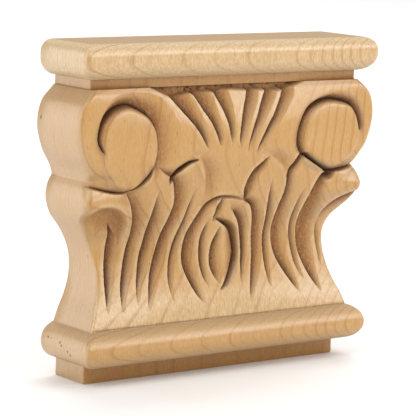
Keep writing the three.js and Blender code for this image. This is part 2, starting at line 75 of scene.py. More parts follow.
def level(x, depth, z):
    """One level of the skin: across the front, along the right side, across the back and round again."""
    half, front = x[-1], BACK - depth
    side_share = np.linspace(0, 1, SIDE_STEPS + 1)[1:] ** 2
    side = front[-1] + (BACK - BACK_CHAMFER - front[-1]) * side_share
    behind = np.linspace(half - BACK_CHAMFER, BACK_CHAMFER - half, BACK_STEPS + 1)
    around_x = np.concatenate([x, np.full(SIDE_STEPS, half), behind, np.full(SIDE_STEPS, -half)])
    around_y = np.concatenate([front, side, np.full(BACK_STEPS + 1, BACK), side[::-1]])
    return np.stack([around_x, around_y, np.full(len(around_x), z)], axis=1)


# The foot block and the bead
# Square seat with a half-round bead above it, run along the front and mitred round both ends of the
# same block. The bead stands out further in front than at the ends. Arrises are taken off by sanding.
BLOCK_HALF = 53.1
BLOCK_DEPTH = 17.8
BLOCK_HEIGHT = 6.5
BEAD_RADIUS = 6.15
BEAD_PROUD = TOTAL_DEPTH - BLOCK_DEPTH - BEAD_RADIUS
BEAD_END = 76
BEAD_STEPS = 24
ARRIS = 0.35
MITRE = 0.95

BELL_FOOT = BLOCK_HEIGHT + 2 * BEAD_RADIUS


def moulded_level(half, depth, z, steps=FRONT_STEPS, corner=ARRIS):
    """One level of a straight moulding, its front corners softened."""
    x = front_places(half, steps)
    return level(x, depth - softened(x, half, corner), z)


def arc(start, end, steps):
    """Shares of a radius outwards and upwards along an arc between two angles in degrees."""
    return [(cos(a), sin(a)) for a in np.radians(np.linspace(start, end, steps + 1))]


foot_levels = [
    moulded_level(BLOCK_HALF - ARRIS, BLOCK_DEPTH - ARRIS, 0),
    moulded_level(BLOCK_HALF, BLOCK_DEPTH, ARRIS),
    moulded_level(BLOCK_HALF, BLOCK_DEPTH, BLOCK_HEIGHT),
]
for out, up in arc(-90, BEAD_END, BEAD_STEPS):
    reach = BEAD_RADIUS * out
    z = BLOCK_HEIGHT + BEAD_RADIUS * (1 + up)
    foot_levels.append(moulded_level(BLOCK_HALF + reach, BLOCK_DEPTH + BEAD_PROUD + reach, z, corner=MITRE))

# The neck and the abacus
# A plain fillet, a quarter round that swells out over it, a narrow flat and a smaller quarter round, run
# and mitred like the bead on the same block. The top is left flat from the saw.
NECK_HALF = 55.6
NECK_DEPTH = 21.9
NECK_HEIGHT = 3.2
ABACUS_LOWER_RADIUS = 5.9
ABACUS_LAND = 1.7
ABACUS_UPPER_RADIUS = 4.2
LOWER_STEPS = 14
UPPER_STEPS = 12
NECK_START = 0.2

LAND_TOP = TOTAL_HEIGHT - ABACUS_UPPER_RADIUS
LAND_FOOT = LAND_TOP - ABACUS_LAND
NECK_TOP = LAND_FOOT - ABACUS_LOWER_RADIUS
BELL_TOP = NECK_TOP - NECK_HEIGHT

head_levels = [
    moulded_level(NECK_HALF, NECK_DEPTH, BELL_TOP + NECK_START),
    moulded_level(NECK_HALF, NECK_DEPTH, NECK_TOP),
]
for out, up in arc(-90, 0, LOWER_STEPS)[1:]:
    reach = ABACUS_LOWER_RADIUS * out
    z = LAND_FOOT + ABACUS_LOWER_RADIUS * up
    head_levels.append(moulded_level(NECK_HALF + reach, NECK_DEPTH + reach, z, corner=MITRE))
for out, up in arc(0, 90, UPPER_STEPS):
    reach = ABACUS_LOWER_RADIUS - ABACUS_UPPER_RADIUS + ABACUS_UPPER_RADIUS * out
    z = LAND_TOP + ABACUS_UPPER_RADIUS * up
    head_levels.append(moulded_level(NECK_HALF + reach, NECK_DEPTH + reach, z, corner=MITRE))

# The bell
# Between the mouldings the block is sawn to a flared outline, in below the leaves' tips and out over
# the volutes, with a notch between, and its front is bowed from side to side before any carving.
NOTCH = 69.0
CARVED_STEPS = 360
CARVED_ROWS = 240


def line_through(points):
    """A smooth line through (place, value) pairs, in rising order of place."""
    place, value = np.array(points, float).T
    place_ends, value_ends = np.pad(place, 1, "edge"), np.pad(value, 1, "edge")
    slope = (value_ends[2:] - value_ends[:-2]) / (place_ends[2:] - place_ends[:-2])

    def read(at):
        at = np.clip(at, place[0], place[-1])
        i = np.clip(np.searchsorted(place, at) - 1, 0, len(place) - 2)
        span = place[i + 1] - place[i]
        t = (at - place[i]) / span
        bend = t * (1 - t) * ((1 - t) * slope[i] - t * slope[i + 1]) * span
        return value[i] + (value[i + 1] - value[i]) * t * t * (3 - 2 * t) + bend

    return read


leaf_outline = line_through([
    (BELL_FOOT, 54.4), (23, 52.8), (28.3, 50.5), (33.6, 49.0), (39, 48.7), (44.6, 49.8), (50.3, 52.7),
    (56, 56.9), (61.6, 58.5), (66, 57.8), (NOTCH, 56.2)])
volute_outline = line_through([
    (NOTCH, 56.2), (72.2, 57.2), (78, 60.4), (86, 62.3), (93.8, 60.7), (BELL_TOP, 56.0)])
middle_depth = line_through([
    (BELL_FOOT, 23.75), (24.7, 23.0), (29.5, 22.1), (36, 21.1), (41, 20.7), (48.5, 20.9), (57, 22.6),
    (63.7, 24.2), (70, 25.4), (76, 26.1), (85.5, 25.7), (91, 24.6), (95.5, 23.4), (BELL_TOP, 22.2)])
side_depth = line_through([
    (BELL_FOOT, 23.7), (23, 22.4), (27, 20.7), (32, 18.9), (37, 17.1), (41, 15.7), (44.5, 14.9),
    (47.5, 15.0), (50.5, 16.3), (54, 19.2), (57, 22.4), (60, 25.0), (62.5, 25.6), (65.5, 24.2), (68.7, 22.6),
    (71.5, 24.6), (75, 25.8), (80, 26.1), (93, 26.1), (97, 25.6), (BELL_TOP, 24.4)])
bow_power = line_through([(BELL_FOOT, 1.5), (44, 1.5), (60, 3), (68, 5), (76, 2), (BELL_TOP, 2)])
edge_radius = line_through([(BELL_FOOT, 0.8), (44, 1.2), (60, 2.6), (80, 2.6), (BELL_TOP, 1.6)])


def half_width(z):
    """Half the width of the sawn outline at each height."""
    return np.where(z < NOTCH, leaf_outline(z), volute_outline(z))


def bell_depth(x, z):
    """How far the uncarved front stands out from the back."""
    half = half_width(z)
    bow = np.clip(np.abs(x) / half, 0, 1) ** bow_power(z)
    return middle_depth(z) + (side_depth(z) - middle_depth(z)) * bow - softened(x, half, edge_radius(z))


bell_heights = np.linspace(BELL_FOOT, BELL_TOP, CARVED_ROWS + 1)
bell_x = np.array([front_places(half, CARVED_STEPS) for half in half_width(bell_heights)])
bell_z = np.repeat(bell_heights[:, None], bell_x.shape[1], axis=1)
bell_front = bell_depth(bell_x, bell_z)

# The gouge
# Every groove is one stroke along a path of (x, height) places. Where the path runs down the front, its
# steep wall with a stop cut at its foot is on the left and the hollow fades out to the right, or the
# other way round where the stroke is turned. A soft stroke is a scoop of a round gouge without a stop
# cut, and a pillow wall is steep at its foot and rounds over at its head.
PATH_STEPS = 48
STOP_CUT = 0.5
STOP_CUT_WIDTH = 0.35
STOP_CUT_SHADE_REACH = 4 * STOP_CUT_WIDTH
NO_STOP_CUT, FULL_STOP_CUT = 0.6, 2.4
UNMARKED_CUT, FULLY_MARKED_CUT = 0.05, 1.6
SOFT_MARK = 0.5
MARK_REACH = 0.4
PLAIN_ARRIS_CUT, PALE_ARRIS_CUT = 0.3, 1.8
PALE_ARRIS_WIDTH = 0.8
PILLOW_PALE_ARRIS = 0.2

cut = np.zeros(bell_x.shape)
tooling_and_shade = np.zeros(bell_x.shape)
crease_shade = np.zeros(bell_x.shape)
arris_wear_and_highlight = np.zeros(bell_x.shape)


def ease(start, end, value):
    """Smooth rise from 0 at start to 1 at end."""
    t = np.clip((value - start) / (end - start), 0, 1)
    return t * t * (3 - 2 * t)


def path_through(places):
    """Even steps along a smooth curve through the places."""
    p = np.array(places, float)
    at = np.linspace(0, len(p) - 1, PATH_STEPS + 1)
    i = np.minimum(at.astype(int), len(p) - 2)
    t = (at - i)[:, None]
    a, b = p[i], p[i + 1]
    leave = (b - p[np.maximum(i - 1, 0)]) / 2
    arrive = (p[np.minimum(i + 2, len(p) - 1)] - a) / 2
    return ((2 * t - 3) * t * t * (a - b) + ((t - 2) * t + 1) * t * leave + (t - 1) * t * t * arrive) + a


def along(values, t):
    """A list of values spread evenly along a path, read at each share t of it."""
    return np.interp(t, np.linspace(0, 1, len(values)), values)


def nearest_on(line, x, z):
    """Distance to a line, the side of it and the share of its length, for many places."""
    distance, side, t = np.full(x.shape, np.inf), np.ones(x.shape), np.zeros(x.shape)
    for i, (start, end) in enumerate(zip(line[:-1], line[1:])):
        step = end - start
        from_x, from_z = x - start[0], z - start[1]
        share = np.clip((from_x * step[0] + from_z * step[1]) / (step @ step), 0, 1)
        away = np.hypot(from_x - share * step[0], from_z - share * step[1])
        closer = away < distance
        distance[closer] = away[closer]
        side[closer] = np.where(step[0] * from_z >= step[1] * from_x, 1, -1)[closer]
        t[closer] = ((i + share) / PATH_STEPS)[closer]
    return distance, side, t


def stroke(path, depth, wall, hollow, fade=1.2, turned=False, rounded=False, soft=False, pillow=False,
           from_edge=True):
    """Take one groove out of the bell, where nothing deeper is cut already."""
    line = path_through(path)
    margin = max(wall) + max(hollow)
    near = (bell_x > line[:, 0].min() - margin) & (bell_x < line[:, 0].max() + margin)
    near &= (bell_z > line[:, 1].min() - margin) & (bell_z < line[:, 1].max() + margin)
    distance, side, t = nearest_on(line, bell_x[near], bell_z[near])
    width = along(wall, t)
    across = distance * side * (-1 if turned else 1) - (width if from_edge else 0)

    out = np.clip(across / along(hollow, t), 0, 1)
    hollow_share = (1 - out) ** fade
    if rounded:
        hollow_share = 1 - np.sqrt(1 - (1 - out) ** 2)
    if soft:
        hollow_share = ease(1, 0, out)
    wall_share = ease(-width, 0, across) if soft else np.clip(1 + across / width, 0, 1)
    if pillow:
        wall_share = 1 - np.sqrt(1 - wall_share ** 2)

    full = along(depth, t)
    strong = 0 if soft else ease(NO_STOP_CUT, FULL_STOP_CUT, full)
    taken = full * np.where(across < 0, wall_share, hollow_share)
    taken += STOP_CUT * strong * np.exp(-(across / STOP_CUT_WIDTH) ** 2)
    deeper = taken > cut[near]
    cut[near] = np.where(deeper, taken, cut[near])

    # Painted shade: the colour darkens with the depth of the cut and most on the wall, where shade falls,
    # along with the real torn fibre of the gouge
    tool_mark_and_shade = ease(UNMARKED_CUT, FULLY_MARKED_CUT, taken) * np.where(across < 0, 1, hollow_share ** MARK_REACH)
    tooling_and_shade[near] = np.where(deeper, tool_mark_and_shade * (SOFT_MARK if soft else 1), tooling_and_shade[near])
    # Painted shade along the foot of each stop cut and down its wall
    stop_cut_shade = strong * np.where(across < 0, wall_share, np.exp(-(across / STOP_CUT_SHADE_REACH) ** 2))
    crease_shade[near] = np.where(deeper, stop_cut_shade, crease_shade[near])
    # A paler band along the head of each wall: real sanding wear and a painted highlight
    from_arris = across + width + PALE_ARRIS_WIDTH / 2
    pale_arris = ease(PLAIN_ARRIS_CUT, PALE_ARRIS_CUT, full) * np.exp(-(from_arris / PALE_ARRIS_WIDTH) ** 2)
    pale_arris *= PILLOW_PALE_ARRIS if pillow else 1
    arris_wear_and_highlight[near] = np.where(deeper & (across > -width), 0, np.maximum(arris_wear_and_highlight[near], pale_arris))


# The volutes
# Each volute is a round eye in a scroll, carved in the block's upper corner. One groove goes over the eye
# and opens into the cove beside the fan, and another runs below it, above the curled leaf.
SCROLLS = [
    dict(path=[[-52.2, 78.3], [-54.3, 82.0], [-54.0, 86.0], [-51.4, 89.8], [-47.6, 92.4],
               [-42.6, 93.5], [-38.0, 92.0], [-33.9, 89.2], [-31.3, 84.2], [-31.0, 78.5], [-32.3, 73.3]],
         depth=[1.2, 3.0, 3.6, 3.4, 3.2, 2.8, 2.6, 2.2, 1.2, 1.2, 1.8],
         wall=[0.8, 3.0, 3.4, 3.2, 2.8, 2.4, 2.0, 1.6, 1.4, 1.4, 1.6],
         hollow=[0.5, 0.8, 1.0, 2.2, 3.4, 4.4, 6.5, 8.5, 9.5, 9.0, 5.0], pillow=True, from_edge=False),
    dict(path=[[55.6, 81.6], [55.2, 84.5], [54.0, 87.6], [51.8, 90.4], [48.6, 91.6], [44.5, 92.4],
               [40.7, 92.4], [36.6, 91.4], [32.7, 89.2], [30.0, 85.8], [28.3, 81.5], [28.1, 77.5],
               [29.6, 74.8]],
         depth=[1.6, 2.6, 2.8, 2.6, 2.4, 2.4, 2.6, 3.0, 3.2, 3.2, 3.2, 3.2, 3.0],
         wall=[0.8, 1.2, 1.4, 1.6, 2.0, 2.2, 2.4, 3.0, 3.8, 4.6, 5.2, 5.0, 3.0],
         hollow=[0.6, 2.2, 3.0, 3.4, 3.6, 3.0, 1.8, 1.4, 1.2, 0.9, 0.8, 0.8, 0.8], turned=True,
         pillow=True, from_edge=False),
]
EYE_CREASES = [
    dict(path=[[-57.5, 67.6], [-55.5, 67.0], [-51.5, 65.9], [-47.5, 65.0], [-43.5, 65.0],
               [-39.1, 66.5], [-35.6, 69.4], [-32.6, 73.0]],
         depth=[0.3, 1.3, 1.6, 1.6, 1.2, 1.5, 2.2, 2.2], wall=[0.4, 0.5, 0.5, 0.5, 0.8, 1.2, 1.6, 1.6],
         hollow=[1.5, 2.6, 3, 3, 2.6, 1.8, 1.2, 1.2], rounded=True, from_edge=False),
    dict(path=[[57.5, 69.2], [52.2, 68.0], [46.5, 67.4], [43.2, 67.6], [40.0, 68.7], [36.7, 70.3],
               [33.6, 72.2], [31.0, 74.2]],
         depth=[0.4, 1.6, 2.2, 3.2, 2.4, 2.2, 2.4, 3.0], wall=[0.4, 0.6, 0.8, 1.6, 0.8, 0.7, 0.8, 1.2],
         hollow=[1.5, 2.6, 2.6, 2.4, 2.2, 2, 1.6, 1.2], turned=True, rounded=True, from_edge=False),
]
for groove in SCROLLS + EYE_CREASES:
    stroke(**groove)

# The leaves
# Long pointed leaves, left standing in the same wood, sweep up from the bead on both sides of a bud,
# each set off from the next by one deep stroke and hollowed by a vein. The outer two curl over.
LEFT_LEAVES = [
    dict(path=[[-42.7, 64.7], [-40.8, 61.5], [-39.4, 58.8], [-37.4, 54.3], [-36.4, 49.2],
               [-37.2, 44.4], [-38.4, 39.9], [-40.1, 34], [-40.9, 29.6], [-41.2, 23.3]],
         depth=[0.8, 1.3, 1.5, 1.5, 1.6, 1.8, 2.0, 2.0, 1.6, 0], wall=[0.4, 0.6, 0.7, 0.7, 0.3],
         hollow=[5, 8, 7.5, 6, 5, 4.4, 3.8, 3, 2, 0.4]),
    dict(path=[[-32.2, 73.2], [-27.7, 70.2], [-24.6, 68.4], [-23, 64.7], [-22.3, 59.8], [-23.2, 55],
               [-24.6, 49.8], [-25.9, 44.2], [-27.5, 39.3], [-29, 34.8], [-30.1, 28.8], [-31.1, 23.2]],
         depth=[0.7, 1.0, 1.6, 2.2, 2.4, 2.4, 2.4, 2.4, 2.2, 1.9, 1.4, 0], wall=[0.6, 0.7, 0.7, 0.3],
         hollow=[1, 2, 4, 7, 6.5, 5.6, 5.2, 5, 4.6, 3.8, 2.2, 0.4]),
    dict(path=[[-23.4, 68.2], [-21.6, 70.2], [-19.6, 71.6], [-17.6, 72.9], [-14.8, 73.8], [-13.2, 74.2]],
         depth=[2.4, 2.6, 2.4, 2.0, 1.2, 0], wall=[0.5, 0.5, 0.3], hollow=[1.8, 2, 1.8, 1.4, 0.8, 0.3]),
    dict(path=[[7.4, 59.6], [3, 61], [-2.9, 61.4], [-6.6, 60.3], [-9.3, 58.5], [-11.4, 55.4],
               [-14.2, 50], [-15.3, 46.2], [-15.9, 42.4], [-15.9, 38.4], [-14.4, 33.9], [-12.4, 30],
               [-10, 26.4], [-7.5, 23.6]],
         depth=[0.8, 1.0, 1.4, 1.6, 1.8, 2.1, 2.4, 2.6, 2.6, 2.4, 2.2, 1.8, 1.2, 0],
         wall=[0.5, 0.7, 0.7, 0.3],
         hollow=[1.2, 1.4, 2, 2.6, 3.4, 4.2, 5, 5.6, 5.6, 5.2, 4.4, 3.4, 2, 0.4]),
    dict(path=[[-45.6, 55], [-44.4, 49.6], [-44.7, 43.8], [-45.6, 38.8], [-46.4, 32.9],
               [-46.8, 28.4], [-47.2, 24]],
         depth=[1.6, 2.5, 2.2, 2.2, 2.1, 1.5, 0], wall=[0.3, 0.6, 0.7, 0.3],
         hollow=[0.4, 6, 5, 3.6, 2.6, 1.4, 0.3]),
    dict(path=[[-29.2, 65.2], [-30.3, 58.8], [-30.7, 53.8], [-31, 46.7], [-32.1, 42.6],
               [-33.5, 36.6], [-34.4, 32.1], [-35.1, 25.6]],
         depth=[0, 1.6, 2.2, 2.2, 2.0, 1.7, 1.3, 0], wall=[0.5, 0.7, 0.7, 0.3],
         hollow=[1, 3.8, 5, 4.6, 4, 3, 1.8, 0.3]),
    dict(path=[[-14, 65.2], [-15.7, 59.3], [-17.1, 53.5], [-18.5, 49], [-20, 44], [-21.2, 38.7],
               [-21.7, 34.1], [-21.5, 30.4], [-20.5, 24.6]],
         depth=[0, 1.1, 1.5, 1.6, 1.6, 1.5, 1.3, 0.9, 0], wall=[0.4, 0.5, 0.3],
         hollow=[0.3, 1.8, 2.2, 2.4, 2.4, 2.4, 2, 1.3, 0.3]),
    dict(path=[[-14.9, 74.8], [-12.5, 72.4], [-11, 68.6], [-10.5, 64.4], [-10.6, 61.0]],
         depth=[0.3, 1.0, 1.3, 1.1, 0.4], wall=[1.4, 1.8], hollow=[2, 5, 7, 6, 3], soft=True),
]
RIGHT_LEAVES = [
    dict(path=[[16.2, 74.8], [13.2, 72.4], [10, 70], [8.1, 67.4], [7, 64.4], [6.9, 61.6], [7.6, 59.6]],
         depth=[0, 1.8, 2.4, 2.8, 2.8, 2.4, 1.4], wall=[0.3, 0.6, 0.7],
         hollow=[0.6, 2.4, 3.4, 4.2, 4.6, 4, 2.4]),
    dict(path=[[28.8, 74.2], [26.8, 71.4], [24.8, 68.4], [24.6, 62], [23.3, 56.4], [22.5, 51],
               [22.6, 46.4], [23.3, 41.7], [25, 36.9], [28.3, 31.7], [31.2, 27.8], [34, 24]],
         depth=[3.0, 2.6, 2.2, 2.0, 2.2, 2.6, 2.9, 2.9, 2.6, 2.2, 1.6, 0], wall=[0.7, 0.7, 0.7, 0.3],
         hollow=[2.2, 2.4, 2.8, 3.6, 4.8, 6, 6.6, 6.4, 5.4, 4, 2.6, 0.4]),
    dict(path=[[43.4, 66.9], [40.2, 66.6], [37.3, 62.6], [35.7, 58.6], [34.7, 54.4], [34.6, 49.8],
               [35.1, 44.5], [35.7, 38.8], [37.8, 33], [40.8, 27.8], [43.9, 23.7]],
         depth=[2.4, 2.6, 3.0, 3.3, 3.6, 3.8, 3.7, 3.4, 2.8, 1.8, 0], wall=[0.7, 0.8, 0.8, 0.7, 0.3],
         hollow=[2.5, 4, 6, 8, 9, 9.8, 9.6, 8.2, 6, 3, 0.4]),
    dict(path=[[17.9, 65.8], [18.1, 60.8], [18.3, 55.6], [18.8, 50.4], [18.8, 45], [19.1, 39.6],
               [19.6, 34.3], [20.4, 30.5], [21.4, 26.6]],
         depth=[0, 1.3, 1.8, 2.0, 2.0, 1.8, 1.5, 1.0, 0], wall=[0.4, 0.5, 0.3],
         hollow=[0.3, 1.6, 2.6, 2.8, 2.8, 2.6, 2, 1.2, 0.3]),
    dict(path=[[33.9, 63.8], [31.9, 59.2], [31, 55.5], [30.8, 51.3], [31.5, 45.6], [32.3, 40.2],
               [33.2, 35.5], [34.6, 31.8], [37, 27.6]],
         depth=[0, 0.8, 1.2, 1.5, 1.6, 1.6, 1.3, 0.9, 0], wall=[0.4, 0.5, 0.3],
         hollow=[0.3, 1.3, 2, 2.6, 2.8, 2.6, 2, 1.3, 0.3]),
    dict(path=[[45.4, 50], [45.1, 46.5], [45.1, 41.5], [45.3, 36.4], [45.6, 31.4]],
         depth=[0, 1.0, 1.1, 0.9, 0], wall=[0.3, 0.5, 0.3], hollow=[0.4, 1.8, 1.8, 1.4, 0.3]),
    dict(path=[[14.2, 74.3], [18.3, 72.8], [21.4, 70.5], [23.4, 67.6]], depth=[0.3, 1.0, 1.1, 0.4],
         wall=[1.4, 1.6], hollow=[2, 4.5, 5, 3], soft=True),
]
CURLS = [
    dict(path=[[-39.8, 42], [-38.6, 47], [-38.6, 51.5], [-39.8, 55], [-42.8, 58.4], [-47.2, 60.2],
               [-51.8, 60.4], [-56.4, 58.4]],
         depth=[0, 0.9, 1.8, 2.6, 3.0, 2.9, 2.0, 0.7], wall=[1.2, 1.8, 2.0, 2.0],
         hollow=[3, 5, 7, 8.5, 10, 11, 10, 7], soft=True),
    dict(path=[[45.2, 49], [45.6, 52], [47, 54.8], [49.4, 56.9], [52.6, 58.5], [56.5, 59.8]],
         depth=[0.6, 1.2, 1.6, 1.8, 1.6, 1.0], wall=[0.8], hollow=[3, 4, 4.4, 4.4, 4.4, 4], turned=True),
]
for groove in LEFT_LEAVES + RIGHT_LEAVES + CURLS:
    stroke(**groove)

# The bud
# A seed between two closing leaves that rise from the bead, in the same wood. It is cut away to both
# sides of a ridge down its middle, deepest on the right.
BUD = [
    dict(path=[[-6.1, 53.4], [-7.7, 50.2], [-8.9, 46.4], [-9.1, 42.6], [-8.9, 37.8], [-7.9, 33.7],
               [-6.9, 31.4], [-5.8, 29.2]],
         depth=[0, 1.3, 1.8, 1.9, 1.7, 1.3, 0.8, 0], wall=[0.4, 0.5, 0.3],
         hollow=[0.3, 2, 2.8, 2.8, 2.4, 1.8, 1, 0.3]),
    dict(path=[[-0.8, 50.7], [-2.3, 47.9], [-4.2, 44.1], [-4.9, 39.7], [-4.7, 36.6], [-3.3, 33.3],
               [-0.7, 29.8]],
         depth=[0, 1.5, 2.2, 2.4, 2.2, 1.6, 0], wall=[0.3, 0.5, 0.5, 0.5, 0.3],
         hollow=[0.3, 2, 3.9, 4.4, 4.6, 3.6, 0.3], fade=1),
    dict(path=[[-0.9, 51.2], [1.8, 49.6], [4.1, 47.2], [5.2, 44], [5.7, 39.9], [4.3, 35.9],
               [2.3, 32.2], [0, 29.4]],
         depth=[0, 0.7, 1.2, 1.3, 1.3, 1.1, 0.7, 0], wall=[0.3], hollow=[0.3, 2, 4, 5, 5, 4, 2, 0.3],
         fade=1, turned=True, from_edge=False),
    dict(path=[[-4.2, 53.4], [-0.9, 51.4], [1.7, 49.8], [4, 47.4], [5.1, 44.1], [5.6, 39.9],
               [4.2, 35.9], [2.2, 32.2], [-0.1, 29.4]],
         depth=[0.6, 1.6, 2.8, 3.6, 3.8, 3.6, 3.4, 2.8, 1.2], wall=[0.4, 0.5, 0.6, 0.6, 0.4],
         hollow=[0.8, 1.4, 2.2, 2.6, 2.2, 1.6, 2.2, 2.2, 1]),
    dict(path=[[-0.8, 60.6], [-2.2, 59.6], [-3.6, 57.4], [-4.3, 53.8]], depth=[0.4, 1.4, 1.9, 1.2],
         wall=[0.3, 0.5], hollow=[1.6, 2.4, 3, 1.4]),
    dict(path=[[3.4, 55.4], [4.8, 53.6], [6.8, 50.5], [8.1, 45.8], [8.7, 41.2], [8.5, 36.5],
               [8.4, 32.5], [8.2, 29.2]],
         depth=[0.8, 1.9, 2.6, 2.7, 2.2, 1.6, 1.0, 0], wall=[0.5, 0.7, 0.6, 0.3],
         hollow=[3.6, 4, 3.6, 3, 2.4, 1.6, 0.9, 0.3]),
    dict(path=[[7.2, 59.4], [8.4, 58.6], [11.1, 56.1], [12.8, 50.7], [13.5, 44.1], [13.7, 39.2],
               [12.9, 32.9], [12.2, 28.2], [11.8, 22.8]],
         depth=[0.6, 1.2, 2.0, 2.7, 2.9, 2.6, 2.1, 1.5, 0], wall=[0.5, 0.6, 0.6, 0.3],
         hollow=[1.4, 2.4, 4, 5, 5, 4.6, 3.8, 2.4, 0.3]),
]
for groove in BUD:
    stroke(**groove)

# The fan
# Six flutes that open upwards between the volutes, each struck into the block from its broad end under
# the neck down to a point.
FLUTE_DEPTH = [2.4, 2.3, 2.2, 2.1, 1.9, 1.4, 0]
FLUTE_WALL = [0.6, 0.6, 0.6, 0.5, 0.3]
FAN = [
    dict(path=[[-24.6, 94.8], [-22, 92], [-19.6, 89.6], [-16, 85.8], [-13.6, 82.8], [-11.9, 80],
               [-10.2, 77]],
         hollow=[7.4, 6.8, 6, 3.8, 2.6, 1.6, 0.3]),
    dict(path=[[-15.8, 96.2], [-13.6, 93.2], [-12, 90.8], [-9, 86.6], [-7.2, 83.2], [-6.1, 80.6],
               [-5.4, 78.2]],
         hollow=[6.8, 6.4, 5.6, 3.6, 2.4, 1.6, 0.3]),
    dict(path=[[-7, 96.6], [-5.4, 93.6], [-4, 91], [-2.7, 88], [-1.8, 85.3], [-1.1, 82], [-0.6, 79]],
         hollow=[5.6, 5, 4.2, 3, 2.2, 1.5, 0.3]),
    dict(path=[[7, 96.6], [6.1, 94], [5.2, 91.8], [4, 88], [3.2, 84.2], [2.8, 81], [2.7, 77.6]],
         hollow=[4.4, 4.4, 4.2, 3.4, 2.4, 1.5, 0.3]),
    dict(path=[[14.6, 96.4], [13.4, 94.2], [12.1, 91.8], [10.8, 88.8], [9, 85.2], [7.4, 81], [5.9, 75.8]],
         hollow=[4.4, 4.2, 4, 3.2, 2.3, 1.5, 0.3]),
    dict(path=[[22, 96.2], [20.6, 93.6], [19.2, 91.2], [17.4, 88.2], [15.7, 86], [13.4, 82.4],
               [11.2, 78.6], [9.5, 74.6]],
         hollow=[4.6, 4, 3.8, 3.2, 2.6, 2, 1.3, 0.3]),
]
for groove in FAN:
    stroke(depth=FLUTE_DEPTH, wall=FLUTE_WALL, fade=1, **groove)

# The eyes, the ground and the torn fibre
# The eyes swell towards their lower edge. Between the fan and the neck the ground is sunk and left rough
# from the punch, the hollows keep the torn fibre of the gouge, and a fine quirk parts bell and bead.
EYES = [dict(x=-41.5, z=78, rx=10.8, rz=12.7), dict(x=41.5, z=79.5, rx=12.6, rz=11.4)]
EYE_SWELL = line_through([(64, 2.2), (70, 1.7), (76, 0.7), (82, 0.1), (92, 0)])
EYE_EDGE_OUT, EYE_EDGE_IN = -0.12, 0.1
GROUND_EDGE = line_through([
    (-38, 101), (-32, 98.6), (-24, 95.6), (-15.6, 96.6), (-7.2, 96.6), (0, 97.2), (6.6, 96.8), (14.1, 96.6),
    (21.2, 96.2), (28, 97.8), (38, 101)])
GROUND_DEPTH = 20.3
GROUND_WALL = 0.9
GROUND_ROUGHNESS = 0.4
PUNCH_DEPTH = 0.5
UNPUNCHED, PUNCHED = 0.68, 0.9
PUNCH_SHADE = 0.7
NECK_SHADE = 0.9
NECK_SHADE_WIDTH = 0.4
SMOOTH_CUT, ROUGH_CUT = 0.3, 2.0
TORN_DEPTH = 0.28
LONG_TORN_DEPTH = 0.16
QUIRK_DEPTH = 0.5
QUIRK_WIDTH = 0.35
LATTICE = 1200
LATTICE_MIDDLE = 500


def speckle(grain_x, grain_z, seed):
    """Random heights from 0 to 1 over the bell, on a lattice of that grain, smoothly joined."""
    u, v = bell_x / grain_x + LATTICE_MIDDLE, bell_z / grain_z + LATTICE_MIDDLE
    i, j = u.astype(int), v.astype(int)
    s, t = ease(0, 1, u - i), ease(0, 1, v - j)
    lattice = np.random.default_rng(seed).random((LATTICE, LATTICE))
    low = lattice[i, j] * (1 - s) + lattice[i + 1, j] * s
    high = lattice[i, j + 1] * (1 - s) + lattice[i + 1, j + 1] * s
    return low * (1 - t) + high * t


inside = [1 - np.hypot((bell_x - eye["x"]) / eye["rx"], (bell_z - eye["z"]) / eye["rz"]) for eye in EYES]
swell = EYE_SWELL(bell_z) * ease(EYE_EDGE_OUT, EYE_EDGE_IN, np.max(inside, 0))
bell_front = bell_front + swell - cut

sunk = ease(0, GROUND_WALL, bell_z - GROUND_EDGE(bell_x))
punched = ease(UNPUNCHED, PUNCHED, speckle(grain_x=1.3, grain_z=0.8, seed=4))
rough = GROUND_ROUGHNESS * speckle(grain_x=0.6, grain_z=0.8, seed=3) + PUNCH_DEPTH * punched
bell_front = bell_front * (1 - sunk) + np.minimum(bell_front, GROUND_DEPTH - rough) * sunk
# Painted shade in the punch pits and a painted shadow line under the neck
neck_edge = np.exp(-((BELL_TOP - bell_z) / NECK_SHADE_WIDTH) ** 2)
ground_shade = np.maximum(PUNCH_SHADE * punched, NECK_SHADE * neck_edge)
crease_shade = np.maximum(crease_shade * (1 - sunk), sunk * ground_shade)

torn = ease(SMOOTH_CUT, ROUGH_CUT, cut) * (1 - sunk)
torn_out = TORN_DEPTH * speckle(grain_x=0.8, grain_z=1.5, seed=5)
torn_out += LONG_TORN_DEPTH * speckle(grain_x=0.6, grain_z=3, seed=6)
bell_front = bell_front - torn * torn_out
bell_front = bell_front - QUIRK_DEPTH * np.exp(-((bell_z - BELL_FOOT) / QUIRK_WIDTH) ** 2)

bell_levels = [level(x, depth, z) for x, depth, z in zip(bell_x, bell_front, bell_heights)]

# The neck's underside: a level of the neck's shape just above the bell, still in the bell's fine steps
SEAT_INSET, SEAT_RISE = 0.1, 0.02
neck_seat = moulded_level(NECK_HALF - SEAT_INSET, NECK_DEPTH - SEAT_INSET, BELL_TOP + SEAT_RISE, CARVED_STEPS)

# The skin
# All levels are joined into one closed surface, as it is one piece of wood. Where a carved level meets a
# moulded one, each step of the plain front takes in fifteen of the carved one.
levels = foot_levels + bell_levels + [neck_seat] + head_levels
starts = np.cumsum([0] + [len(ring) for ring in levels])
points = np.concatenate(levels)
corner_count = len(CORNER_INSETS)
plain_count = FRONT_STEPS + 1 + 2 * corner_count + 2 * SIDE_STEPS + BACK_STEPS + 1


def carved_band(start, upper_start, count):
    """Triangles between two carved levels, each step split along the way that changes less in depth."""
    band = []
    for k in range(count):
        a, b = start + k, start + (k + 1) % count
        c, d = upper_start + k, upper_start + (k + 1) % count
        if abs(points[a][1] - points[d][1]) <= abs(points[b][1] - points[c][1]):
            band += [(a, b, d), (a, d, c)]
        else:
            band += [(a, b, c), (b, d, c)]
    return band


